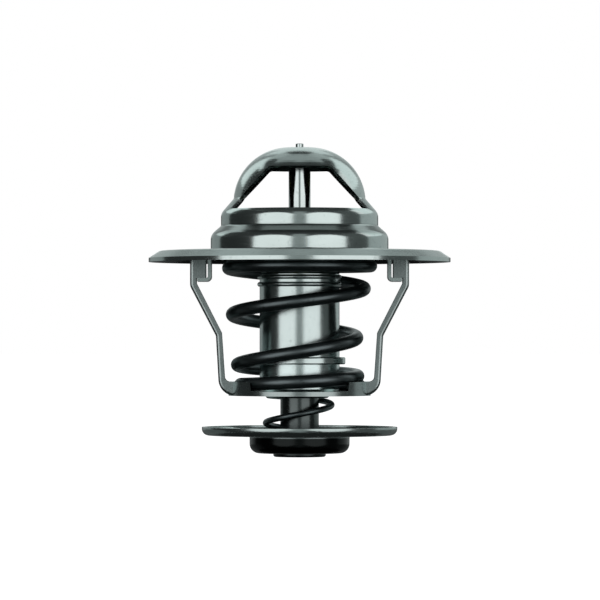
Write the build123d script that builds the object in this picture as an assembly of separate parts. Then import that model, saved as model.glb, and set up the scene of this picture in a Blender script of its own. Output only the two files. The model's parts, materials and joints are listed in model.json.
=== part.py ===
from build123d import *
import math
import os

os.makedirs("parts", exist_ok=True)

# Millimetres. The axis of the thermostat is Z. Z = 0 is the lower edge of the flange rim.

# Overall sizes
flange_diameter = 54.0
crown_height = 20.5
bypass_disc_diameter = 35.0
bypass_face_depth = 31.0

# Clearances
running_clearance = 0.05
sliding_clearance = 0.1
hook_play = 0.3
lip_play = 0.5
lug_room = 0.4
ring_setback = 3.4
hat_clearance = 0.25
ring_clearance = 0.55
lug_clearance = 0.7
spring_pocket_clearance = 0.2175
matching_tolerance = 0.005

# Upper frame: brim, stepped hat, bridge strap and crown boss, drawn from one sheet
frame_gauge = 0.6
brim_height = 2.0
rim_slope = 33.0
hat_shoulder_height = 5.9
neck_radius = 14.05
neck_foot_height = 6.5
dome_radius = 10.8
dome_offset = 1.0
dome_centre_height = 9.7
strap_root_angle = 8.0
window_sill_height = 9.4
strap_half_width = 5.6
strap_waist_half_width = 3.8
strap_waist_reach = 11.2
strap_taper_start = 8.2
boss_radius = 5.0
boss_drop = 3.95
brim_bend = 1.1
brim_root_bend = 0.4
hat_shoulder_bend = 1.6
neck_foot_bend = 0.35
neck_top_bend = 2.0
strap_root_bend = 0.6
crown_bend = 1.0
boss_floor_bend = 0.5

# Piston
piston_diameter = 3.9
piston_tip_diameter = 1.4
piston_tip_rise = 1.0
piston_tip_chamfer = 0.14
piston_foot_chamfer = 0.4

# Lug ring under the brim, with two lugs that hook the bracket
lug_gauge = 0.6
lug_drop = 3.5
lug_width = 9.6
lug_bend = 0.9

# Lower bracket
bracket_gauge = 0.8
leg_width = 9.2
leg_box_depth = 2.75
leg_shoulder_depth = 4.35
neck_thickness = 1.05
diagonal_thickness = 1.15
shank_thickness = 0.95
knee_reach = 14.9
knee_depth = 13.2
foot_reach = 14.3
foot_bend = 3.0
leg_edge_bend = 0.55
bracket_depth = 23.9
rim_wall_height = 2.5
rim_wall_end = 8.9
rim_wall_foot = 7.7
element_hole_clearance = 0.4

# Main spring
spring_wire = 2.35
spring_seat_height = 0.5
spring_top_radius = 13.9
spring_middle_radius = 12.4
spring_bottom_radius = 11.7
spring_bow_offset = 0.8
spring_waist_share = 0.58
spring_turns = 4.45
spring_lower_rise = [(0.0, 0.0), (0.7, 0.0), (1.0, 0.085), (1.5, 0.135)]
spring_upper_rise = [(2.0, 0.41), (2.5, 0.58), (3.0, 0.81), (3.45, 1.0)]

# Wax element
cup_radius = 7.15
cup_wall = 0.8
cup_top_depth = 1.6
cup_base_depth = 18.3
cup_base_thickness = 1.0
cup_collar_radius = 8.2
cup_collar_thickness = 1.3
crimp_lip_radius = 5.5
crimp_bead_radius = 0.42
crimp_bead_depths = (2.7, 4.0)
cup_top_bend = 0.56
collar_bend = 0.26
sleeve_radius = 4.2
sleeve_tip_radius = 3.6
sleeve_flange_thickness = 0.9
sleeve_floor = 0.9
washer_thickness = 0.3
guide_flange_thickness = 2.1
guide_body_radius = 5.3
guide_neck_radius = 4.3
guide_top_height = 8.3
guide_shoulder_height = 2.4
guide_mouth_radius = 3.2
guide_mouth_depth = 1.7
guide_edge = 0.4
guide_seal_thickness = 1.3

# Main valve
valve_gauge = 0.8
valve_hub_reach = 9.3
valve_trough_reach = 10.3
valve_wall_radius = 14.3
valve_rim_radius = 15.05
valve_rim_height = 4.2
valve_hub_bend = 0.4
valve_trough_bend = 0.96
valve_rim_bend = 0.2
seal_ring_radius = 14.2
seal_section_radius = 0.6
seal_rise = 0.5
clip_thickness = 0.8
clip_groove_depth = 0.5
clip_width = 1.8
clip_gap_angle = 70.0

# Bypass stem, spring, disc and retainer
stem_diameter = 6.9
stem_head_depth = 23.2
stem_head_edge = 0.5
stem_spigot_diameter = 4.0
bypass_gauge = 0.8
bypass_lip_height = 1.5
bypass_lip_bend = 1.2
bypass_cup_radius = 8.95
bypass_cup_depth = 3.2
bypass_cup_bend = 1.7
bypass_cup_root_bend = 0.3
retainer_diameter = 9.4
retainer_thickness = 0.6
retainer_bend = 0.36
bypass_wire = 1.1
bypass_spring_top_radius = 6.1
bypass_spring_bottom_radius = 7.0
bypass_spring_turns = 2.9
bypass_spring_rise = [(0.0, 0.0), (0.5, 0.0), (1.0, 0.16), (1.5, 0.43), (2.0, 0.83), (2.4, 1.0)]

# Derived levels
rim_radius = flange_diameter / 2
hat_radius = valve_rim_radius + hat_clearance + frame_gauge
lug_ring_outer_radius = rim_radius - ring_setback
lug_ring_inner_radius = valve_rim_radius + ring_clearance
lug_face_reach = valve_rim_radius + lug_clearance
leg_reach = lug_face_reach + lug_gauge + lug_room + leg_box_depth
lug_lip_reach = leg_reach - bracket_gauge - lip_play
boss_floor_height = crown_height - boss_drop
piston_tip_height = crown_height + piston_tip_rise
brim_underside = brim_height - frame_gauge
ring_underside = brim_underside - lug_gauge
lip_top = lug_gauge - lug_drop
plate_underside = -bracket_depth
plate_top = plate_underside + bracket_gauge
piston_radius = piston_diameter / 2
guide_bore_radius = piston_radius + running_clearance
sleeve_bore_radius = piston_radius + sliding_clearance
cup_bore_radius = cup_radius - cup_wall
crimp_underside = -cup_top_depth - cup_wall
guide_base = crimp_underside - guide_flange_thickness
washer_base = guide_base - washer_thickness
sleeve_flange_base = washer_base - sleeve_flange_thickness
cup_floor = cup_base_thickness - cup_base_depth
sleeve_base = cup_floor + 2 * sleeve_floor
sleeve_bore_base = sleeve_base + sleeve_floor
piston_foot = sleeve_bore_base + hook_play
element_hole_radius = cup_collar_radius + element_hole_clearance
bypass_face = -bypass_face_depth
bypass_cup_base = bypass_face - bypass_cup_depth
retainer_top = bypass_cup_base - running_clearance
retainer_base = retainer_top - retainer_thickness


def plain_edge(edge):
    """The edge itself where it is straight or round, or else a spline through points of it."""
    if edge.geom_type in (GeomType.LINE, GeomType.CIRCLE):
        return edge
    steps = 6
    points = [edge @ (step / steps) for step in range(steps + 1)]
    return Edge.make_spline(points, tangents=[edge % 0, edge % 1])


def sheet_face(face_line, gauge, side=Side.LEFT):
    """Section of a sheet: one face is the given line, the other lies a gauge away."""
    outline = face_line.offset_2d(gauge, side=side, closed=True)
    return make_face([plain_edge(edge) for edge in outline.edges()])


def sheet_section(corners, bends, gauge, side=Side.LEFT):
    """Section of a bent sheet whose one face follows the corners."""
    with BuildLine() as face_line:
        FilletPolyline(*corners, radius=bends)
    return sheet_face(face_line.wire(), gauge, side)


def turned(section):
    """Solid of revolution about Z from a section drawn as (radius, height)."""
    return revolve(Plane.XZ * section, Axis.Z)


def turned_profile(*corners):
    """Solid of revolution about Z from straight (radius, height) corners."""
    return turned(make_face(Polyline(*corners, close=True)))


def plate_across(section, width):
    """Solid of a section drawn in the (x, height) plane, extruded to both sides of it."""
    return extrude(Plane.XZ * section, width / 2, both=True)


def rise_at(turn, knots):
    """Height fraction of a coil at a turn, read between the knots."""
    for (low, low_rise), (high, high_rise) in zip(knots, knots[1:]):
        if turn <= high:
            share = max(0.0, (turn - low) / (high - low))
            return low_rise + share * (high_rise - low_rise)
    return knots[-1][1]


def smooth_rise(turn, knots):
    """Height fraction of a coil, averaged over a part of a turn so that the wire has no kinks."""
    window = [-0.24, -0.16, -0.08, 0.0, 0.08, 0.16, 0.24]
    return sum(rise_at(turn + step, knots) for step in window) / len(window)


def coil(wire, base, top, turns, knots, radius_at, bow=0.0):
    """Right-handed coil of round wire between two seats, with the ends flat on them."""
    steps_per_turn = 12
    low = base + wire / 2
    high = top - wire / 2
    points = []
    for step in range(round(turns * steps_per_turn) + 1):
        turn = step / steps_per_turn
        rise = smooth_rise(turn, knots)
        reach = radius_at(rise) - wire / 2
        angle = 2 * math.pi * turn
        shift = -bow * math.sin(math.pi * rise)
        height = low + rise * (high - low)
        points.append((shift + reach * math.cos(angle), reach * math.sin(angle), height))
    path = Spline(*points)
    start = Plane(origin=path @ 0, z_dir=path % 0)
    return sweep(start * Circle(wire / 2), path=path, is_frenet=True)


def strap_plan():
    """Bridge strap seen from above: parallel over the crown, waisted where it springs from the hat."""
    waist_corner = (strap_waist_reach, strap_waist_half_width)
    taper_corner = (strap_taper_start, strap_half_width)
    root_half_width = strap_half_width + frame_gauge
    with BuildSketch() as plan:
        with BuildLine():
            Polyline(
                (0, 0),
                (0, strap_half_width),
                taper_corner,
                waist_corner,
                (hat_radius, root_half_width),
                (hat_radius, 0),
                close=True,
            )
        make_face()
        fillet(plan.vertices().sort_by_distance(taper_corner)[0], strap_half_width)
        fillet(plan.vertices().sort_by_distance(waist_corner)[0], strap_root_bend)
        mirror(about=Plane.YZ)
        mirror(about=Plane.XZ)
    return plan.sketch


def dome_curve(inner_reach):
    """Points and end directions (radius, height) of the dome's round side, from the root to the boss."""
    steps = 4
    dome_rise = crown_height - dome_centre_height
    start = math.radians(strap_root_angle)
    end = math.acos((inner_reach - dome_offset) / dome_radius)
    angles = [start + (end - start) * step / steps for step in range(steps + 1)]
    points = []
    for angle in angles:
        reach = dome_offset + dome_radius * math.cos(angle)
        points.append((reach, dome_centre_height + dome_rise * math.sin(angle)))
    directions = []
    for angle in (start, end):
        inward = dome_radius * math.sin(angle)
        upward = dome_rise * math.cos(angle)
        length = math.hypot(inward, upward)
        directions.append((-inward / length, upward / length))
    return points, directions


def upper_frame():
    """Brim, stepped hat and domed bridge of one revolved sheet, with two windows cut from the dome."""
    slope = math.tan(math.radians(rim_slope))
    rim_top = frame_gauge / math.cos(math.radians(rim_slope))
    spare = 1.0
    brim_edge = rim_radius - (brim_height - rim_top) / slope
    boss_bore = boss_radius - frame_gauge
    dome, dome_directions = dome_curve(boss_bore)
    root = dome[0]
    crown = dome[-1]
    neck_top = root[1] - (neck_radius - root[0])
    boss_floor = boss_floor_height + frame_gauge
    tip_hole = piston_tip_diameter / 2 + running_clearance
    with BuildLine() as top_face:
        FilletPolyline(
            (rim_radius + spare, rim_top - spare * slope),
            (brim_edge, brim_height),
            (hat_radius, brim_height),
            (hat_radius, hat_shoulder_height),
            (neck_radius, neck_foot_height),
            (neck_radius, neck_top),
            root,
            radius=[brim_bend, brim_root_bend, hat_shoulder_bend, neck_foot_bend, neck_top_bend],
        )
        Spline(*dome, tangents=dome_directions)
        Polyline(crown, (boss_bore, boss_floor), (tip_hole, boss_floor))
        for corner, bend in (
            (root, strap_root_bend),
            (crown, crown_bend),
            ((boss_bore, boss_floor), boss_floor_bend),
        ):
            fillet(top_face.vertices().sort_by_distance(corner)[0], bend)
    section = sheet_face(top_face.wire(), frame_gauge)
    hat_room = Pos(0, 0, window_sill_height - crown_height) * Cylinder(rim_radius, 2 * crown_height)
    strap_room = Pos(0, 0, window_sill_height) * extrude(strap_plan(), crown_height)
    return turned(section) & (hat_room + strap_room)


def piston():
    """Turned pin: its shoulder bears on the boss floor and its thin tip stands through the crown."""
    tip_radius = piston_tip_diameter / 2
    pin = turned_profile(
        (0, piston_foot),
        (piston_radius - piston_foot_chamfer, piston_foot),
        (piston_radius, piston_foot + piston_foot_chamfer),
        (piston_radius, boss_floor_height),
        (tip_radius, boss_floor_height),
        (tip_radius, piston_tip_height),
        (0, piston_tip_height),
    )
    return chamfer(pin.edges().group_by(Axis.Z)[-1], piston_tip_chamfer)


def lug_ring():
    """Flat ring against the brim with two lugs turned down from it, each ending in an outward lip."""
    ring = Pos(0, 0, ring_underside + lug_gauge / 2) * Cylinder(lug_ring_outer_radius, lug_gauge)
    ring -= Cylinder(lug_ring_inner_radius, 3 * crown_height)
    hook = sheet_section(
        [
            (hat_radius + lug_lip_reach - lug_face_reach, brim_underside),
            (lug_face_reach, brim_underside),
            (lug_face_reach, -lug_drop),
            (lug_lip_reach, -lug_drop),
        ],
        lug_bend,
        lug_gauge,
    )
    lug = plate_across(hook, lug_width)
    return ring + lug + mirror(lug, about=Plane.YZ)


def leg_outer_corners():
    """Outer face of the right leg, from its top to the middle of the plate."""
    return [
        (leg_reach, ring_underside - hook_play),
        (leg_reach, -leg_shoulder_depth),
        (knee_reach, -knee_depth),
        (foot_reach, plate_underside),
        (0, plate_underside),
    ]


def lower_bracket():
    """Channel-section strap bent into two legs and a round pan that carries the main spring."""
    leg_top = ring_underside - hook_play
    run = knee_reach - leg_reach
    fall = leg_shoulder_depth - knee_depth
    length = math.hypot(run, fall)
    inward = (fall / length * diagonal_thickness, -run / length * diagonal_thickness)
    rim_wall_top = plate_underside + rim_wall_height
    pocket_radius = spring_bottom_radius + spring_pocket_clearance
    pan_radius = pocket_radius + bracket_gauge
    shank_top = (knee_reach - shank_thickness, inward[1] - knee_depth)
    bends = [bracket_gauge + lug_bend, lug_bend, foot_bend]
    with BuildSketch() as silhouette:
        with BuildLine():
            outer = FilletPolyline(*leg_outer_corners(), radius=bends)
            Polyline(
                outer @ 1,
                (0, plate_top),
                (element_hole_radius, plate_top),
                (element_hole_radius, rim_wall_top),
                (foot_reach - shank_thickness, rim_wall_top),
                shank_top,
                (leg_reach - neck_thickness, inward[1] - leg_shoulder_depth),
                (leg_reach - neck_thickness, lip_top),
                (leg_reach - leg_box_depth, lip_top),
                (leg_reach - leg_box_depth, leg_top),
                outer @ 0,
            )
        make_face()
        wall_corner = (foot_reach - shank_thickness, rim_wall_top)
        fillet(silhouette.vertices().sort_by_distance(wall_corner)[0], lug_bend)
    leg = plate_across(silhouette.sketch, leg_width)
    outer_edges = []
    for edge in leg.edges():
        middle = edge @ 0.5
        on_side = abs(abs(middle.Y) - leg_width / 2) < matching_tolerance
        on_outer_face = outer.distance_to(Vector(middle.X, middle.Z, 0)) < matching_tolerance
        if on_side and on_outer_face:
            outer_edges.append(edge)
    leg = fillet(outer_edges, leg_edge_bend)
    with BuildSketch() as channel:
        with BuildLine():
            web = outer.offset_2d(bracket_gauge, side=Side.RIGHT, closed=False)
            add(web)
            Polyline(web @ 0, (0, leg_top), web @ 1)
        make_face()
    inside = plate_across(channel.sketch, leg_width - 2 * bracket_gauge)
    leg -= inside + Pos(0, 0, crown_height) * inside
    legs = leg + mirror(leg, about=Plane.YZ)
    plate = Pos(0, 0, plate_underside + bracket_gauge / 2) * Cylinder(pan_radius, bracket_gauge)
    pan = Pos(0, 0, plate_underside + rim_wall_height / 2) * Cylinder(pan_radius, rim_wall_height)
    pan = fillet(pan.edges().sort_by(Axis.Z)[0], leg_edge_bend)
    with BuildSketch() as wall_reach:
        with BuildLine():
            Polyline(
                (rim_wall_foot, plate_top),
                (rim_wall_foot + lug_bend, plate_top),
                (rim_wall_end, rim_wall_top + lug_bend),
                (leg_reach, rim_wall_top + lug_bend),
                (leg_reach, plate_underside - lug_bend),
                (rim_wall_foot, plate_underside - lug_bend),
                close=True,
            )
        make_face()
    wall_side = plate_across(wall_reach.sketch, 3 * pan_radius)
    walls = pan & (wall_side + mirror(wall_side, about=Plane.YZ))
    pocket = Pos(0, 0, plate_top + rim_wall_height) * Cylinder(pocket_radius, 2 * rim_wall_height)
    hole = Pos(0, 0, plate_underside) * Cylinder(element_hole_radius, 4 * bracket_gauge)
    return legs + plate + walls - pocket - hole


def main_spring():
    """Tapered coil from the bracket's pan up to the valve."""

    def outer_radius(rise):
        if rise < spring_waist_share:
            share = rise / spring_waist_share
            return spring_bottom_radius + (spring_middle_radius - spring_bottom_radius) * share
        share = (rise - spring_waist_share) / (1 - spring_waist_share)
        return spring_middle_radius + (spring_top_radius - spring_middle_radius) * share

    return coil(
        spring_wire,
        plate_top,
        spring_seat_height,
        spring_turns,
        spring_lower_rise + spring_upper_rise,
        outer_radius,
        spring_bow_offset,
    )


def wax_cup():
    """Drawn cup crimped over the guide, with two crimp beads near its mouth and a collar at its base."""
    body = turned_profile(
        (0, -cup_base_depth),
        (cup_collar_radius, -cup_base_depth),
        (cup_collar_radius, cup_collar_thickness - cup_base_depth),
        (cup_radius, cup_collar_thickness - cup_base_depth),
        (cup_radius, -cup_top_depth),
        (crimp_lip_radius, -cup_top_depth),
        (crimp_lip_radius, crimp_underside),
        (cup_bore_radius, crimp_underside),
        (cup_bore_radius, cup_floor),
        (0, cup_floor),
    )
    top_edge = body.edges().filter_by(GeomType.CIRCLE).group_by(Axis.Z)[-1].sort_by(SortBy.RADIUS)[-1]
    body = fillet(top_edge, cup_top_bend)
    rounds = body.edges().filter_by(GeomType.CIRCLE)
    collar_edges = [edge for edge in rounds if abs(edge.radius - cup_collar_radius) < matching_tolerance]
    body = fillet(collar_edges, collar_bend)
    for depth in crimp_bead_depths:
        bead = Pos(0, 0, -depth) * Torus(cup_radius, crimp_bead_radius)
        body += bead - Pos(0, 0, -depth) * Cylinder(cup_radius - cup_wall / 2, 4 * crimp_bead_radius)
    return body


def sleeve_outline():
    """Outer (radius, height) corners of the rubber sleeve, from its flange to its closed tip."""
    return [
        (cup_bore_radius, washer_base),
        (cup_bore_radius, sleeve_flange_base),
        (sleeve_radius, sleeve_flange_base),
        (sleeve_tip_radius, sleeve_base),
        (0, sleeve_base),
    ]


def rubber_sleeve():
    """Rubber boot round the piston; its flange is clamped between the washer and the wax."""
    return turned_profile(
        *sleeve_outline(),
        (0, sleeve_bore_base),
        (sleeve_bore_radius, sleeve_bore_base),
        (sleeve_bore_radius, washer_base),
    )


def wax_charge():
    """Wax that fills the cup round the sleeve."""
    return turned_profile(
        (0, cup_floor),
        (cup_bore_radius, cup_floor),
        *sleeve_outline()[1:],
    )


def anti_extrusion_washer():
    """Thin washer that keeps the rubber out of the guide's bore."""
    washer = Pos(0, 0, washer_base + washer_thickness / 2) * Cylinder(cup_bore_radius, washer_thickness)
    return washer - Cylinder(sleeve_bore_radius, 3 * crown_height)


def piston_guide():
    """Turned guide: flange crimped in the cup, shoulder for the valve, groove for the clip."""
    groove_base = guide_shoulder_height + valve_gauge
    mouth_base = guide_top_height - guide_mouth_depth
    return turned_profile(
        (guide_bore_radius, guide_base),
        (cup_bore_radius, guide_base),
        (cup_bore_radius, crimp_underside),
        (guide_body_radius, crimp_underside),
        (guide_body_radius, guide_shoulder_height),
        (guide_neck_radius, guide_shoulder_height),
        (guide_neck_radius, groove_base),
        (guide_neck_radius - clip_groove_depth, groove_base),
        (guide_neck_radius - clip_groove_depth, groove_base + clip_thickness),
        (guide_neck_radius, groove_base + clip_thickness),
        (guide_neck_radius, guide_top_height - guide_edge),
        (guide_neck_radius - guide_edge, guide_top_height),
        (guide_mouth_radius, guide_top_height),
        (guide_mouth_radius, mouth_base),
        (guide_bore_radius, mouth_base),
    )


def guide_seal():
    """Lip seal ring in the mouth of the guide."""
    base = guide_top_height - guide_mouth_depth
    return turned_profile(
        (guide_bore_radius, base),
        (guide_mouth_radius, base),
        (guide_mouth_radius, base + guide_seal_thickness),
        (guide_mouth_radius - guide_edge, base + guide_seal_thickness),
        (guide_bore_radius, base + guide_seal_thickness / 2),
    )


def main_valve_plate():
    """Pressed valve disc: hub on the guide, trough over the spring and a rim for the seal ring."""
    rim_underside = valve_rim_height - valve_gauge
    section = sheet_section(
        [
            (guide_neck_radius + running_clearance, guide_shoulder_height),
            (valve_hub_reach, guide_shoulder_height),
            (valve_trough_reach, spring_seat_height),
            (valve_wall_radius, spring_seat_height),
            (valve_wall_radius, rim_underside),
            (valve_rim_radius, rim_underside),
        ],
        [valve_hub_bend, valve_trough_bend, valve_trough_bend, valve_rim_bend],
        valve_gauge,
    )
    return turned(section)


def valve_seal_ring():
    """Rubber ring bonded to the rim of the valve disc."""
    centre = valve_rim_height + seal_rise
    section = Pos(seal_ring_radius, centre) * Circle(seal_section_radius)
    below = Pos(seal_ring_radius, valve_rim_height - seal_section_radius) * Rectangle(
        4 * seal_section_radius, 2 * seal_section_radius
    )
    return turned(section - below)


def valve_clip():
    """Open wire-form clip in the guide's groove; the valve disc is pushed up against it."""
    base = guide_shoulder_height + valve_gauge
    inner = guide_neck_radius - clip_groove_depth
    ring = turned_profile(
        (inner, base),
        (inner + clip_width, base),
        (inner + clip_width, base + clip_thickness),
        (inner, base + clip_thickness),
    )
    half_gap = math.radians(clip_gap_angle / 2)
    reach = 2 * valve_wall_radius
    side = reach * math.sin(half_gap)
    front = reach * math.cos(half_gap)
    gap = make_face(Polyline((0, 0), (front, side), (front, -side), close=True))
    return ring - Pos(0, 0, base) * extrude(gap, clip_thickness)


def bypass_stem():
    """Turned stem under the cup: a head as wide as the cup, the stem and its riveting spigot."""
    stem_radius = stem_diameter / 2
    spigot_radius = stem_spigot_diameter / 2
    return turned_profile(
        (0, -cup_base_depth),
        (cup_radius, -cup_base_depth),
        (cup_radius, stem_head_edge - stem_head_depth),
        (cup_radius - stem_head_edge, -stem_head_depth),
        (stem_radius, -stem_head_depth),
        (stem_radius, retainer_top),
        (spigot_radius, retainer_top),
        (spigot_radius, retainer_base),
        (0, retainer_base),
    )


def stem_retainer():
    """Flat washer riveted to the end of the stem; it carries the bypass disc."""
    middle = retainer_top - retainer_thickness / 2
    washer = Pos(0, 0, middle) * Cylinder(retainer_diameter / 2, retainer_thickness)
    washer = fillet(washer.edges().sort_by(Axis.Z)[0], retainer_bend)
    return washer - Pos(0, 0, retainer_top) * Cylinder(stem_spigot_diameter / 2, 4 * retainer_thickness)


def bypass_disc():
    """Pressed disc: upturned rim, flat face and a centre cup that slides on the stem."""
    disc_radius = bypass_disc_diameter / 2
    section = sheet_section(
        [
            (disc_radius, bypass_face + bypass_lip_height),
            (disc_radius, bypass_face),
            (bypass_cup_radius, bypass_face),
            (bypass_cup_radius, bypass_cup_base),
            (stem_diameter / 2 + sliding_clearance, bypass_cup_base),
        ],
        [bypass_lip_bend, bypass_cup_root_bend, bypass_cup_bend],
        bypass_gauge,
        Side.RIGHT,
    )
    return turned(section)


def bypass_spring():
    """Light cone coil from the floor of the disc's cup up to the stem's head."""
    spread = bypass_spring_bottom_radius - bypass_spring_top_radius

    def outer_radius(rise):
        return bypass_spring_bottom_radius - spread * rise

    return coil(
        bypass_wire,
        bypass_cup_base + bypass_gauge,
        -stem_head_depth,
        bypass_spring_turns,
        bypass_spring_rise,
        outer_radius,
    )


for make_piece in (
    upper_frame,
    lug_ring,
    lower_bracket,
    piston,
    main_spring,
    wax_cup,
    wax_charge,
    rubber_sleeve,
    anti_extrusion_washer,
    piston_guide,
    guide_seal,
    main_valve_plate,
    valve_seal_ring,
    valve_clip,
    bypass_stem,
    stem_retainer,
    bypass_spring,
    bypass_disc,
):
    export_step(make_piece(), f"parts/{make_piece.__name__}.step")
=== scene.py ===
import json
import math

import bmesh
import bpy
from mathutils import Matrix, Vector


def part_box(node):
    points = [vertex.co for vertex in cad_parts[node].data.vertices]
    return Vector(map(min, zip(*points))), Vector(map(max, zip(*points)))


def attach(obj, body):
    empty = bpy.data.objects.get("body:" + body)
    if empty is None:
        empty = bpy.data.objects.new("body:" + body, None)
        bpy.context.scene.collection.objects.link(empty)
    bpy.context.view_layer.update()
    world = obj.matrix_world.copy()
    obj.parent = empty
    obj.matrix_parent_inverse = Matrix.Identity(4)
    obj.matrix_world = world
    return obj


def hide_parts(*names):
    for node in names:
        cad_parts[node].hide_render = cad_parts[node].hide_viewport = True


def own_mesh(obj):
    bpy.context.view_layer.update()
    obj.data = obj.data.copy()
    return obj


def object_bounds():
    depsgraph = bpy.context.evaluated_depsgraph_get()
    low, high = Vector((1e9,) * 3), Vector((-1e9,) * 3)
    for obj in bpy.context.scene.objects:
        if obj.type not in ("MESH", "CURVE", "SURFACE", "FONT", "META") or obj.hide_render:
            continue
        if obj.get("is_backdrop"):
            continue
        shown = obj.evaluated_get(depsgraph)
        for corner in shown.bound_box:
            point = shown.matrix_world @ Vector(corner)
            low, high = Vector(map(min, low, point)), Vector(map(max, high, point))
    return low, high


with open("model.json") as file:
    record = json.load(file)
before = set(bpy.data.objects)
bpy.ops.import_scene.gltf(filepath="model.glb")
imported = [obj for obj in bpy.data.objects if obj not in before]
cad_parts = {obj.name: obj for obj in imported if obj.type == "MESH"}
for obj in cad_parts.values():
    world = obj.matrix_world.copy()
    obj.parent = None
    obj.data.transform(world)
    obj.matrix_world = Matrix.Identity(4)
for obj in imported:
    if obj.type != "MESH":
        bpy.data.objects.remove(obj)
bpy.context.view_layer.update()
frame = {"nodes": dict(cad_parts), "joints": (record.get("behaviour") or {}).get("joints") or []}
nodes = frame["nodes"]

MM = 0.001

# Camera: level, square to the front, with the thermostat's axis near the middle of the picture
CAMERA_DISTANCE = 757 * MM
EYE_LEVEL = -13.3 * MM
PICTURE_CENTRE = -6.79 * MM
SIDE_SHIFT = 0.0007
SENSOR_WIDTH = 36
LENS = 253.8
PICTURE_WIDTH = CAMERA_DISTANCE * SENSOR_WIDTH / LENS

# Studio: distances in metres, directions in degrees with azimuth 0 on the camera's side
CARD_DISTANCE = 0.9
CARD_TINT = (0.92, 1, 0.99)
SOFTBOX_DISTANCE = 0.8
SOFTBOX_MIDDLE = 36
SOFTBOX_HALF_WIDTH = 26
SOFTBOX_LOW = -30
SOFTBOX_HIGH = 42
SOFTBOX_RADIANCE = 1.15
AMBIENT = 0.42
FLOOR_HALF_WIDTH = 6.0
FLOOR_GAP = 0.1 * MM
FLOOR_GREY = 0.42
FLOOR_GLOW = 0.9

# Cards that stand on both sides: name, azimuths on the right side, elevations, grey
PAIRED_CARDS = (
    ("backing", (10, 62), (-32, 42), 0.04),
    ("side_card", (112, 150), (16, 48), 0.95),
    ("back_card", (140, 167), (48, 62), 0.5),
    ("edge_card", (150, 160), (16, 48), 0.28),
    ("low_card", (160, 172), (4, 32), 0.45),
    ("foot_card", (100, 160), (-32, -6), 0.12),
)

# Cards that stand once: name, azimuths, elevations, grey
SINGLE_CARDS = (
    ("front_card", (-10, 10), (-32, 42), 0.3),
    ("left_flag", (-62, -125), (-6, 42), 0.03),
    ("left_foot_flag", (-62, -100), (-32, -6), 0.03),
    ("right_flag", (62, 100), (-32, 42), 0.09),
    ("left_card", (-125, -160), (-6, 16), 0.3),
    ("right_card", (100, 160), (-6, 16), 0.45),
    ("back_card", (160, 200), (32, 48), 0.8),
    ("back_low_card", (172, 188), (4, 32), 0.8),
    ("back_foot_card", (160, 200), (-32, 4), 0.1),
    ("front_ceiling", (-115, 115), (42, 90), 0.05),
    ("back_flag", (167, 193), (48, 62), 0.05),
    ("left_ceiling_flag", (220, 245), (48, 62), 0.05),
    ("right_ceiling_flag", (115, 140), (48, 62), 0.05),
    ("back_ceiling", (115, 245), (62, 90), 0.4),
    ("floor_flag", (0, 360), (-90, -32), 0.02),
)

# Finishes: widths and radius in millimetres, levels as shares of the noise's range
GRAIN_WIDTH = 0.3
GRAIN_STRETCH = 12
GRAIN_RADIUS = 15
PATCH_WIDTH = 7
SPECK_WIDTH = 0.8
NOISE_LOW = 0.3
NOISE_HIGH = 0.7
SPECK_START = 0.58
SPECK_FULL = 0.72
GLOSS_SPREAD = 0.04
FACING_BLEND = 0.1

# Crown sheet and piston, in millimetres and degrees
SHEET_GAUGE = 0.6
RIM_SLOPE = 33
BRIM_HEIGHT = 2
BRIM_BEND = 1.1
HAT_RADIUS = 15.9
HAT_FOOT_BEND = 0.4
HAT_TOP = 4.85
HAT_TOP_BEND = 2
NECK_RADIUS = 14.07
NECK_FOOT = 6.45
NECK_FOOT_BEND = 0.35
NECK_TOP = 8.7
NECK_TOP_BEND = 2
CROWN_HEIGHT = 20.5
CROWN_RADIUS = 9.85
CROWN_OFFSET = 1.95
CROWN_ROOT_ANGLE = 4
CROWN_ROOT_BEND = 0.6
WINDOW_FOOT = 9.4
WINDOW_FOOT_REACH = 12.35
WINDOW_HEAD = 16.9
WINDOW_HEAD_REACH = 5.5
WINDOW_HEAD_BEND = 1
PISTON_RADIUS = 1.95
PISTON_FOOT_BEND = 0.4
TIP_RADIUS = 0.7
TIP_HEIGHT = 21.2
TIP_BEND = 0.14
TIP_CLEARANCE = 0.05
AXIS_HOLE = 0.01

# Fineness of the turned meshes: counts, millimetres and degrees
TURNING_STEPS = 224
CROWN_STEPS = 30
BEND_STEPS = 6
HOLD_GAP = 0.03
LONG_STRAIGHT = 12 * HOLD_GAP
SHARP_EDGE = 35


def direction(azimuth, elevation):
    """Unit vector from the object, with azimuth 0 towards the camera and 90 towards +X."""
    a = math.radians(azimuth)
    e = math.radians(elevation)
    return Vector((math.sin(a) * math.cos(e), -math.cos(a) * math.cos(e), math.sin(e)))


def link(tree, *pairs):
    """Joins sockets, each pair given as (from, to)."""
    for start, end in pairs:
        tree.links.new(start, end)


def add_node(tree, kind, **inputs):
    """A new node with the given values in its inputs; an underscore stands for a space."""
    node = tree.nodes.new(kind)
    for name, value in inputs.items():
        node.inputs[name.replace("_", " ")].default_value = value
    return node


def calculate(tree, operation, *values):
    """Output of a maths node; each value is a number or a socket."""
    node = tree.nodes.new("ShaderNodeMath")
    node.operation = operation
    for socket, value in zip(node.inputs, values):
        if isinstance(value, (int, float)):
            socket.default_value = value
        else:
            tree.links.new(value, socket)
    return node.outputs[0]


def vector_maths(tree, operation):
    """A new vector maths node."""
    node = tree.nodes.new("ShaderNodeVectorMath")
    node.operation = operation
    return node


def seen_directly(tree):
    """1 for rays from the camera and for mirror and glass rays, otherwise 0."""
    path = tree.nodes.new("ShaderNodeLightPath")
    seen = calculate(tree, "MAXIMUM", path.outputs["Is Camera Ray"], path.outputs["Is Glossy Ray"])
    return calculate(tree, "MAXIMUM", seen, path.outputs["Is Transmission Ray"])


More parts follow.
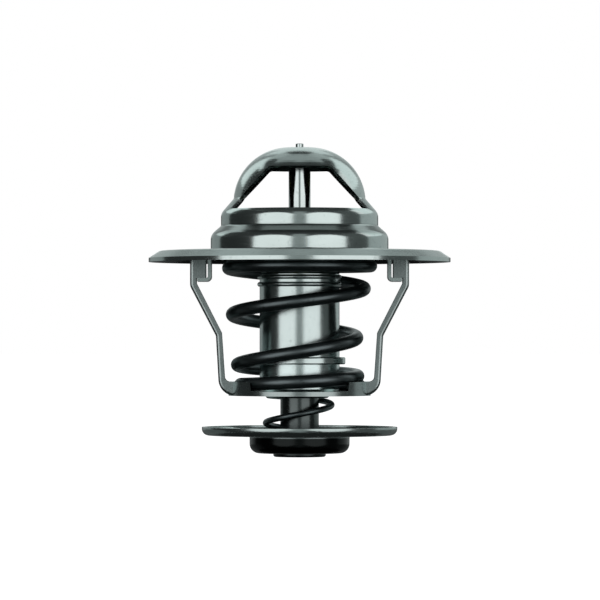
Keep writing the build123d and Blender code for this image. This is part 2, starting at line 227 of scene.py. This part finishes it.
def make_world():
    """White where it is seen, and a plain level of light elsewhere."""
    world = bpy.data.worlds.new("studio")
    world.use_nodes = True
    tree = world.node_tree
    tree.nodes.clear()
    output = tree.nodes.new("ShaderNodeOutputWorld")
    ambient = add_node(tree, "ShaderNodeBackground", Color=(0.96, 0.98, 1, 1), Strength=AMBIENT)
    white = add_node(tree, "ShaderNodeBackground", Color=(1, 1, 1, 1), Strength=1)
    mix = tree.nodes.new("ShaderNodeMixShader")
    link(
        tree,
        (seen_directly(tree), mix.inputs[0]),
        (ambient.outputs[0], mix.inputs[1]),
        (white.outputs[0], mix.inputs[2]),
        (mix.outputs[0], output.inputs["Surface"]),
    )
    bpy.context.scene.world = world


def make_camera():
    """Level camera, raised to the middle of the picture by its shift alone."""
    data = bpy.data.cameras.new("camera")
    data.lens = LENS
    data.sensor_width = SENSOR_WIDTH
    data.shift_x = SIDE_SHIFT
    data.shift_y = (PICTURE_CENTRE - EYE_LEVEL) / PICTURE_WIDTH
    data.clip_start = 0.05
    data.clip_end = 20
    camera = bpy.data.objects.new("camera", data)
    bpy.context.scene.collection.objects.link(camera)
    camera.location = (0, -CAMERA_DISTANCE, EYE_LEVEL)
    camera.rotation_euler = (math.radians(90), 0, 0)
    bpy.context.scene.camera = camera


def make_softbox(name, azimuth):
    """Rectangular lamp that fills a window of directions as seen from the object."""
    middle = (SOFTBOX_LOW + SOFTBOX_HIGH) / 2
    width = 2 * SOFTBOX_DISTANCE * math.tan(math.radians(SOFTBOX_HALF_WIDTH))
    height = 2 * SOFTBOX_DISTANCE * math.tan(math.radians((SOFTBOX_HIGH - SOFTBOX_LOW) / 2))
    data = bpy.data.lights.new(name, "AREA")
    data.shape = "RECTANGLE"
    data.size = width
    data.size_y = height
    data.energy = SOFTBOX_RADIANCE * math.pi * width * height
    lamp = bpy.data.objects.new(name, data)
    bpy.context.scene.collection.objects.link(lamp)
    toward = direction(azimuth, middle)
    lamp.location = toward * SOFTBOX_DISTANCE
    lamp.rotation_mode = "QUATERNION"
    lamp.rotation_quaternion = toward.to_track_quat("Z", "Y")
    lamp.visible_camera = False


def card_material(name, grey):
    """Evenly glowing card of a slightly cool grey."""
    material = bpy.data.materials.new(name)
    material.use_nodes = True
    tree = material.node_tree
    tree.nodes.clear()
    output = tree.nodes.new("ShaderNodeOutputMaterial")
    colour = tuple(grey * share for share in CARD_TINT) + (1,)
    glow = add_node(tree, "ShaderNodeEmission", Color=colour, Strength=1)
    link(tree, (glow.outputs[0], output.inputs["Surface"]))
    return material


def make_card(name, azimuths, elevations, grey):
    """Studio card that only mirror rays see, covering a window of directions."""
    steps = 24
    points = []
    for row in range(steps + 1):
        elevation = elevations[0] + (elevations[1] - elevations[0]) * row / steps
        for column in range(steps + 1):
            azimuth = azimuths[0] + (azimuths[1] - azimuths[0]) * column / steps
            points.append(direction(azimuth, elevation) * CARD_DISTANCE)
    faces = []
    for row in range(steps):
        for column in range(steps):
            first = row * (steps + 1) + column
            faces.append((first, first + 1, first + steps + 2, first + steps + 1))
    mesh = bpy.data.meshes.new(name)
    mesh.from_pydata(points, [], faces)
    mesh.materials.append(card_material(name, grey))
    card = bpy.data.objects.new(name, mesh)
    bpy.context.scene.collection.objects.link(card)
    card.visible_camera = False
    card.visible_diffuse = False
    card.visible_shadow = False
    card.visible_transmission = False
    card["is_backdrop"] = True


def make_floor():
    """Pale floor just under the opened valve, which is white but for the object's shadow."""
    travel = {joint["name"]: joint["range_m"][1] for joint in frame["joints"]}
    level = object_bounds()[0].z - travel["valve_lift"] - FLOOR_GAP
    half = FLOOR_HALF_WIDTH
    corners = [(x * half, y * half, level) for x, y in ((-1, -1), (1, -1), (1, 1), (-1, 1))]
    mesh = bpy.data.meshes.new("floor")
    mesh.from_pydata(corners, [], [(0, 1, 2, 3)])
    floor = bpy.data.objects.new("floor", mesh)
    bpy.context.scene.collection.objects.link(floor)
    floor.visible_glossy = False
    material = bpy.data.materials.new("floor")
    material.use_nodes = True
    tree = material.node_tree
    tree.nodes.clear()
    output = tree.nodes.new("ShaderNodeOutputMaterial")
    matt = add_node(tree, "ShaderNodeBsdfDiffuse", Color=(FLOOR_GREY, FLOOR_GREY, FLOOR_GREY, 1))
    glow = add_node(tree, "ShaderNodeEmission", Color=(1, 1, 1, 1), Strength=FLOOR_GLOW)
    both = tree.nodes.new("ShaderNodeAddShader")
    mix = tree.nodes.new("ShaderNodeMixShader")
    link(
        tree,
        (matt.outputs[0], both.inputs[0]),
        (glow.outputs[0], both.inputs[1]),
        (seen_directly(tree), mix.inputs[0]),
        (matt.outputs[0], mix.inputs[1]),
        (both.outputs[0], mix.inputs[2]),
        (mix.outputs[0], output.inputs["Surface"]),
    )
    mesh.materials.append(material)
    floor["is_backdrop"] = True


def grain_place(tree, lay):
    """The place in metres, and the place in grain widths.

    The grain's lines run round Z ("round"), along Z ("upright") or nowhere ("even").
    """
    place = tree.nodes.new("ShaderNodeTexCoord").outputs["Object"]
    parts = tree.nodes.new("ShaderNodeSeparateXYZ")
    tree.links.new(place, parts.inputs[0])
    x, y, z = parts.outputs
    across = 1 / (GRAIN_WIDTH * MM)
    along = across / GRAIN_STRETCH
    joined = tree.nodes.new("ShaderNodeCombineXYZ")
    if lay == "round":
        squares = [calculate(tree, "MULTIPLY", axis, axis) for axis in (x, y)]
        radius = calculate(tree, "SQRT", calculate(tree, "ADD", *squares))
        turn = calculate(tree, "ARCTAN2", y, x)
        axes = (
            calculate(tree, "MULTIPLY", radius, across),
            calculate(tree, "MULTIPLY", turn, GRAIN_RADIUS * MM * along),
            calculate(tree, "MULTIPLY", z, across),
        )
    else:
        stretch = along if lay == "upright" else across
        axes = (
            calculate(tree, "MULTIPLY", x, across),
            calculate(tree, "MULTIPLY", y, across),
            calculate(tree, "MULTIPLY", z, stretch),
        )
    for axis, socket in zip(axes, joined.inputs):
        tree.links.new(axis, socket)
    return place, joined.outputs[0]


def share_by_height(tree, place, tones):
    """Socket with the share at each height; the (height, share) pairs run evenly into each other."""
    lowest, highest = tones[0][0], tones[-1][0]
    height = tree.nodes.new("ShaderNodeSeparateXYZ")
    rise = add_node(tree, "ShaderNodeMapRange", From_Min=lowest * MM, From_Max=highest * MM)
    ramp = tree.nodes.new("ShaderNodeValToRGB")
    while len(ramp.color_ramp.elements) < len(tones):
        ramp.color_ramp.elements.new(0.5)
    for element, (level, share) in zip(ramp.color_ramp.elements, tones):
        element.position = (level - lowest) / (highest - lowest)
        element.color = (share, share, share, 1)
    link(
        tree,
        (place, height.inputs[0]),
        (height.outputs[2], rise.inputs["Value"]),
        (rise.outputs["Result"], ramp.inputs["Fac"]),
    )
    return ramp.outputs["Color"]


def painted_shade_by_facing(tree, place, height, share):
    """Socket of painted shade: the share on faces that look towards the axis at the height, else 1.
    """
    outward = vector_maths(tree, "SUBTRACT")
    outward.inputs[1].default_value = (0, 0, height * MM)
    outward_unit = vector_maths(tree, "NORMALIZE")
    facing = vector_maths(tree, "DOT_PRODUCT")
    surface = tree.nodes.new("ShaderNodeTexCoord")
    fall = add_node(
        tree,
        "ShaderNodeMapRange",
        From_Min=-FACING_BLEND,
        From_Max=FACING_BLEND,
        To_Min=share,
        To_Max=1.0,
    )
    link(
        tree,
        (place, outward.inputs[0]),
        (outward.outputs["Vector"], outward_unit.inputs[0]),
        (outward_unit.outputs["Vector"], facing.inputs[0]),
        (surface.outputs["Normal"], facing.inputs[1]),
        (facing.outputs["Value"], fall.inputs["Value"]),
    )
    return fall.outputs["Result"]


def finish(
    name,
    colour,
    roughness,
    lay="even",
    depth=0.0012,
    mottle=0.05,
    metallic=1.0,
    tones=None,
    painted_inside_shade=None,
):
    """Surface with fine grain in its height and gloss, a slow drift of tone and darker specks.

    depth is the grain's height in millimetres, and mottle the share by which the tone drifts.
    tones are (height, share) pairs, lowest first: how much of its tone the surface keeps there.
    The inside shade is a (height, share) pair: faces that look towards the axis there keep that
    share of tone, as painted shade.
    """
    material = bpy.data.materials.new(name)
    material.use_nodes = True
    tree = material.node_tree
    tree.nodes.clear()
    output = tree.nodes.new("ShaderNodeOutputMaterial")
    shader = add_node(tree, "ShaderNodeBsdfPrincipled", Metallic=metallic)
    place, grain = grain_place(tree, lay)
    noise = "ShaderNodeTexNoise"
    fine = add_node(tree, noise, Scale=1.0, Detail=3.0, Roughness=0.55)
    broad = add_node(tree, noise, Scale=1 / (PATCH_WIDTH * MM), Detail=2.0, Roughness=0.5)
    speck = add_node(tree, noise, Scale=1 / (SPECK_WIDTH * MM), Detail=4.0, Roughness=0.65)
    tone = tree.nodes.new("ShaderNodeValToRGB")
    tone.color_ramp.elements[0].position = NOISE_LOW
    tone.color_ramp.elements[0].color = tuple(c * (1 - mottle) for c in colour) + (1,)
    tone.color_ramp.elements[1].position = NOISE_HIGH
    tone.color_ramp.elements[1].color = tuple(min(1, c * (1 + mottle)) for c in colour) + (1,)
    stain = add_node(
        tree,
        "ShaderNodeMapRange",
        From_Min=SPECK_START,
        From_Max=SPECK_FULL,
        To_Min=1.0,
        To_Max=1 - 3 * mottle,
    )
    tint = vector_maths(tree, "SCALE")
    shade = stain.outputs["Result"]
    # This multiplier darkens the tone for the specks, and also for painted shade by height and on
    # inward faces.
    if tones:
        shade = calculate(tree, "MULTIPLY", shade, share_by_height(tree, place, tones))
    if painted_inside_shade:
        shade = calculate(tree, "MULTIPLY", shade, painted_shade_by_facing(tree, place, *painted_inside_shade))
    gloss = add_node(
        tree,
        "ShaderNodeMapRange",
        From_Min=NOISE_LOW,
        From_Max=NOISE_HIGH,
        To_Min=roughness - GLOSS_SPREAD,
        To_Max=roughness + GLOSS_SPREAD,
    )
    bump = add_node(tree, "ShaderNodeBump", Strength=1.0, Distance=depth * MM)
    total = calculate(tree, "ADD", fine.outputs["Fac"], broad.outputs["Fac"])
    mean = calculate(tree, "MULTIPLY", total, 0.5)
    link(
        tree,
        (grain, fine.inputs["Vector"]),
        (place, broad.inputs["Vector"]),
        (place, speck.inputs["Vector"]),
        (broad.outputs["Fac"], tone.inputs["Fac"]),
        (speck.outputs["Fac"], stain.inputs["Value"]),
        (tone.outputs["Color"], tint.inputs[0]),
        (shade, tint.inputs["Scale"]),
        (tint.outputs["Vector"], shader.inputs["Base Color"]),
        (mean, gloss.inputs["Value"]),
        (gloss.outputs["Result"], shader.inputs["Roughness"]),
        (fine.outputs["Fac"], bump.inputs["Height"]),
        (bump.outputs["Normal"], shader.inputs["Normal"]),
        (shader.outputs[0], output.inputs["Surface"]),
    )
    return material


def rounded(corners):
    """Points of a line through (x, z, bend) corners, each rounded to its bend."""
    points = []
    for index, (x, z, bend) in enumerate(corners):
        corner = Vector((x, z))
        if not bend:
            points.append(corner)
            continue
        back = (Vector(corners[index - 1][:2]) - corner).normalized()
        onward = (Vector(corners[(index + 1) % len(corners)][:2]) - corner).normalized()
        half = back.angle(onward) / 2
        centre = corner + (back + onward).normalized() * bend / math.sin(half)
        first = corner + back * bend / math.tan(half) - centre
        last = corner + onward * bend / math.tan(half) - centre
        sweep = first.angle(last)
        for step in range(BEND_STEPS + 1):
            share = step / BEND_STEPS
            spoke = first * math.sin((1 - share) * sweep) + last * math.sin(share * sweep)
            points.append(centre + spoke / math.sin(sweep))
    return points


def held(points):
    """The line with a point near each end of its long straights, so that they shade as straight."""
    line = [points[0]]
    for start, end in zip(points, points[1:]):
        run = end - start
        if run.length > LONG_STRAIGHT:
            line += [start + run.normalized() * HOLD_GAP, end - run.normalized() * HOLD_GAP]
        line.append(end)
    return line


def turned_shape(points):
    """A (radius, height) line turned round Z, with the right side of its run as the outside."""
    shape = bmesh.new()
    rings = []
    for radius, height in held(points):
        ring = []
        for step in range(TURNING_STEPS):
            angle = 2 * math.pi * step / TURNING_STEPS
            place = (radius * math.cos(angle) * MM, radius * math.sin(angle) * MM, height * MM)
            ring.append(shape.verts.new(place))
        rings.append(ring)
    for lower, upper in zip(rings, rings[1:]):
        for step in range(TURNING_STEPS):
            after = (step + 1) % TURNING_STEPS
            shape.faces.new((lower[step], lower[after], upper[after], upper[step]))
    return shape


def punch(shape, outline):
    """Cuts a convex (x, z) outline, given clockwise, straight through the shape along Y."""
    margin = 1
    reach = max(abs(x) for x, z in outline) + margin
    low = min(z for x, z in outline) - margin
    high = max(z for x, z in outline) + margin
    planes = []
    for start, end in zip(outline, outline[1:] + outline[:1]):
        run = (end - start).normalized()
        planes.append((Vector((start.x, 0, start.y)) * MM, Vector((-run.y, 0, run.x))))
    for place, outward in planes:
        near = []
        for face in shape.faces:
            centre = face.calc_center_median() / MM
            if abs(centre.x) < reach and low < centre.z < high:
                near.append(face)
        edges = {edge for face in near for edge in face.edges}
        verts = {vert for face in near for vert in face.verts}
        bmesh.ops.bisect_plane(
            shape,
            geom=near + sorted(edges, key=lambda e: e.index) + sorted(verts, key=lambda v: v.index),
            plane_co=place,
            plane_no=outward,
            dist=1e-6,
        )
        shape.verts.index_update()
        shape.edges.index_update()
    inside = []
    for face in shape.faces:
        centre = face.calc_center_median()
        if all((centre - place).dot(outward) < 0 for place, outward in planes):
            inside.append(face)
    bmesh.ops.delete(shape, geom=inside, context="FACES")


def smooth_mesh(name, shape):
    """Mesh of the shape, smooth but for its sharp edges."""
    mesh = bpy.data.meshes.new(name)
    shape.to_mesh(mesh)
    shape.free()
    mesh.shade_smooth()
    mesh.set_sharp_from_angle(angle=math.radians(SHARP_EDGE))
    return mesh


def thickened(shape):
    """The open sheet with its gauge, which lies on the side away from its normals."""
    mesh = bpy.data.meshes.new("sheet")
    shape.to_mesh(mesh)
    shape.free()
    sheet = bpy.data.objects.new("sheet", mesh)
    bpy.context.scene.collection.objects.link(sheet)
    solidify = sheet.modifiers.new("gauge", "SOLIDIFY")
    solidify.thickness = SHEET_GAUGE * MM
    solidify.offset = -1
    solidify.use_even_offset = True
    depsgraph = bpy.context.evaluated_depsgraph_get()
    solid = bpy.data.meshes.new_from_object(sheet.evaluated_get(depsgraph))
    bpy.data.objects.remove(sheet)
    bpy.data.meshes.remove(mesh)
    shape = bmesh.new()
    shape.from_mesh(solid)
    bpy.data.meshes.remove(solid)
    return shape


def stand_in(mesh, material, node, body):
    """Shows a piece in place of a CAD node."""
    mesh.materials.append(material)
    piece = bpy.data.objects.new(mesh.name, mesh)
    bpy.context.scene.collection.objects.link(piece)
    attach(piece, body)
    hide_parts(node)


def crown_line(rim_radius, rim_top):
    """Line over the crown sheet, from its rim up to the hole round the piston's tip."""
    brim_edge = rim_radius - (BRIM_HEIGHT - rim_top) / math.tan(math.radians(RIM_SLOPE))
    corners = [
        (rim_radius, rim_top, 0),
        (brim_edge, BRIM_HEIGHT, BRIM_BEND),
        (HAT_RADIUS, BRIM_HEIGHT, HAT_FOOT_BEND),
        (HAT_RADIUS, HAT_TOP, HAT_TOP_BEND),
        (NECK_RADIUS, NECK_FOOT, NECK_FOOT_BEND),
        (NECK_RADIUS, NECK_TOP, NECK_TOP_BEND),
    ]
    centre = CROWN_HEIGHT - CROWN_RADIUS
    for step in range(CROWN_STEPS + 1):
        angle = math.radians(CROWN_ROOT_ANGLE + (90 - CROWN_ROOT_ANGLE) * step / CROWN_STEPS)
        radius = CROWN_OFFSET + CROWN_RADIUS * math.cos(angle)
        height = centre + CROWN_RADIUS * math.sin(angle)
        corners.append((radius, height, 0 if step else CROWN_ROOT_BEND))
    corners.append((TIP_RADIUS + TIP_CLEARANCE, CROWN_HEIGHT, 0))
    return rounded(corners)


def square_rim(shape, rim_radius, cut_height):
    """Moves the sheet's lower rim edge, at cut_height, to z = 0 straight under the upper one."""
    rim_zone = 26 * MM
    tolerance = 0.01 * MM
    for vert in shape.verts:
        radius = math.hypot(vert.co.x, vert.co.y)
        if radius > rim_zone and abs(vert.co.z - cut_height * MM) < tolerance:
            scale = rim_radius * MM / radius
            vert.co = Vector((vert.co.x * scale, vert.co.y * scale, 0))


def make_crown(material):
    """Brim, stepped hat and dome of one sheet, punched through from front to back over the neck."""
    slope = math.radians(RIM_SLOPE)
    rim_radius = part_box("upper_frame")[1].x / MM
    rim_top = SHEET_GAUGE / math.cos(slope)
    shape = turned_shape(crown_line(rim_radius, rim_top))
    window = [
        (-WINDOW_FOOT_REACH, WINDOW_FOOT, 0),
        (-WINDOW_HEAD_REACH, WINDOW_HEAD, WINDOW_HEAD_BEND),
        (WINDOW_HEAD_REACH, WINDOW_HEAD, WINDOW_HEAD_BEND),
        (WINDOW_FOOT_REACH, WINDOW_FOOT, 0),
    ]
    punch(shape, rounded(window))
    shape = thickened(shape)
    square_rim(shape, rim_radius, rim_top - SHEET_GAUGE * math.cos(slope))
    stand_in(smooth_mesh("crown_sheet", shape), material, "upper_frame", "frame")


def make_piston(material):
    """Turned pin whose shoulder bears under the crown, with a thin tip through it."""
    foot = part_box("piston")[0].z / MM
    shoulder = CROWN_HEIGHT - SHEET_GAUGE
    corners = [
        (AXIS_HOLE, foot, 0),
        (PISTON_RADIUS, foot, PISTON_FOOT_BEND),
        (PISTON_RADIUS, shoulder, 0),
        (TIP_RADIUS, shoulder, 0),
        (TIP_RADIUS, TIP_HEIGHT, TIP_BEND),
        (AXIS_HOLE, TIP_HEIGHT, 0),
    ]
    shape = turned_shape(rounded(corners))
    bmesh.ops.holes_fill(shape, edges=[edge for edge in shape.edges if edge.is_boundary], sides=0)
    stand_in(smooth_mesh("piston_pin", shape), material, "piston", "frame")


def dress(material, *names):
    """Gives CAD nodes a material in every slot."""
    for name in names:
        slots = nodes[name].data.materials
        slots.clear()
        slots.append(material)


def dress_nodes():
    """Makes the two stand-in pieces and gives every other node its finish."""
    bright = (0.555, 0.635, 0.62)
    # Painted shade: the hat's shoulder, between heights 5.2 and 6.2, keeps half its tone.
    painted_shoulder_shade = [(4.6, 1), (5.2, 0.5), (6.2, 0.5), (6.8, 1)]
    # Painted shade: faces of the dome sheet that look towards the axis at height 10 keep a tenth of
    # their tone.
    painted_shade_inside = (10, 0.1)
    dome = finish("dome_sheet", bright, 0.17, "round", tones=painted_shoulder_shade, painted_inside_shade=painted_shade_inside)
    make_crown(dome)
    dress(finish("pressed_sheet", bright, 0.22, lay="round"), "lug_ring", "main_valve_plate")
    dress(finish("bracket_sheet", (0.35, 0.4, 0.395), 0.24, lay="upright"), "lower_bracket")
    make_piston(finish("polished_pin", (0.6, 0.67, 0.66), 0.14, lay="round", depth=0.0005))
    dress(finish("thin_steel", (0.6, 0.66, 0.65), 0.2), "valve_clip", "anti_extrusion_washer")
    wire = finish("oiled_wire", (0.13, 0.155, 0.16), 0.34, mottle=0.12)
    dress(wire, "main_spring", "bypass_spring")
    dress(finish("drawn_cup", (0.56, 0.64, 0.63), 0.22, lay="upright"), "wax_cup")
    bright_head = [(-23.3, 0.17), (-23.1, 1)]
    stem = finish("turned_stem", (0.65, 0.75, 0.74), 0.24, lay="round", tones=bright_head)
    dress(stem, "bypass_stem")
    # Painted shade: the cup under the bypass disc's lip keeps 0.035 of its tone below height -31.5,
    # rising to full at -31.05.
    painted_cup_shade = [(-31.5, 0.035), (-31.05, 1)]
    disc = finish("pressed_disc", (0.45, 0.52, 0.51), 0.22, lay="round", tones=painted_cup_shade)
    dress(disc, "bypass_disc")
    dress(finish("riveted_washer", (0.05, 0.06, 0.06), 0.3, lay="round"), "stem_retainer")
    dress(finish("turned_brass", (0.62, 0.47, 0.2), 0.22, lay="round"), "piston_guide")
    black = (0.022, 0.024, 0.025)
    rubber = finish("black_rubber", black, 0.55, depth=0.008, mottle=0.1, metallic=0.0)
    dress(rubber, "valve_seal_ring", "guide_seal", "rubber_sleeve")
    wax = finish("copper_wax", (0.5, 0.3, 0.15), 0.5, depth=0.01, mottle=0.2, metallic=0.0)
    dress(wax, "wax_charge")


def make_springs_move():
    """Gives both springs meshes of their own."""
    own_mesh(nodes["main_spring"])
    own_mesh(nodes["bypass_spring"])


make_camera()
make_world()
for side, name in ((-1, "left"), (1, "right")):
    make_softbox(name + "_softbox", side * SOFTBOX_MIDDLE)
    for card, (near, far), elevations, grey in PAIRED_CARDS:
        make_card(f"{name}_{card}", (side * near, side * far), elevations, grey)
for card, azimuths, elevations, grey in SINGLE_CARDS:
    make_card(card, azimuths, elevations, grey)
make_floor()
dress_nodes()
make_springs_move()

bpy.context.scene.view_settings.view_transform = "Standard"
